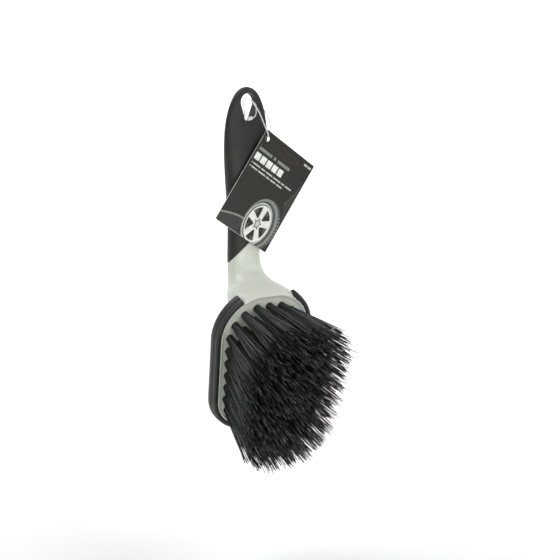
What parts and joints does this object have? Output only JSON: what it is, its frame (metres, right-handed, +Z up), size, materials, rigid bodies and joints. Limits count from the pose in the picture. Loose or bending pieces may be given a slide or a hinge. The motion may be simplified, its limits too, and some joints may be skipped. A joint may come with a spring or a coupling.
{
  "type": "wheel brush",
  "caption": "Handheld cleaning brush: flared head of splayed stiff bristles, rubber bumper round its rim, soft-grip handle with a hang hole, and a card tag on a nylon loop.",
  "frame": {"origin": "middle of the hang hole, in the handle's middle plane", "axes": "+Z up the handle from the head to the hang hole, -Y the way the bristles point, +X to the right when the bristles face the viewer"},
  "size_m": [0.0991, 0.1057, 0.2793],
  "materials": {
    "body_plastic": "moulded pale grey-green polypropylene, satin",
    "soft_rubber": "moulded black thermoplastic rubber, soft sheen",
    "bristle": "stiff black filament, trimmed at its end",
    "anchor_wire": "flat wire, plain",
    "tag_card": "dark printed card, white at its cut edges",
    "clear_nylon": "clear nylon"
  },
  "bodies": {
    "brush": {"body": "body_plastic", "grip": "soft_rubber", "bumper": "soft_rubber", "tuft_outer_01": "bristle", "tuft_outer_02": "bristle", "tuft_outer_03": "bristle", "tuft_outer_04": "bristle", "tuft_outer_05": "bristle", "tuft_outer_06": "bristle", "tuft_outer_07": "bristle", "tuft_outer_08": "bristle", "tuft_outer_09": "bristle", "tuft_outer_10": "bristle", "tuft_outer_11": "bristle", "tuft_outer_12": "bristle", "tuft_outer_13": "bristle", "tuft_outer_14": "bristle", "tuft_outer_15": "bristle", "tuft_outer_16": "bristle", "tuft_outer_17": "bristle", "tuft_outer_18": "bristle", "tuft_outer_19": "bristle", "tuft_outer_20": "bristle", "tuft_outer_21": "bristle", "tuft_outer_22": "bristle", "tuft_outer_23": "bristle", "tuft_outer_24": "bristle", "tuft_outer_25": "bristle", "tufts_second_ring": "bristle", "tufts_third_ring": "bristle", "tufts_centre_row": "bristle", "anchors_outer_ring": "anchor_wire", "anchors_second_ring": "anchor_wire", "anchors_third_ring": "anchor_wire", "anchors_centre_row": "anchor_wire"},
    "loop": {"tag_loop": "clear_nylon", "loop_lock": "clear_nylon"},
    "card": {"tag": "tag_card"}
  },
  "joints": [
    {"name": "loop_lift", "type": "hinge", "parent": "brush", "child": "loop", "pos_m": [0, 0, 0], "axis": [-1, 0, 0], "range_deg": [0, 60]},
    {"name": "tag_swing", "type": "hinge", "parent": "loop", "child": "card", "pos_m": [0.012, -0.0114, -0.0228], "axis": [0, 1, 0], "range_deg": [-60, 60]}
  ]
}
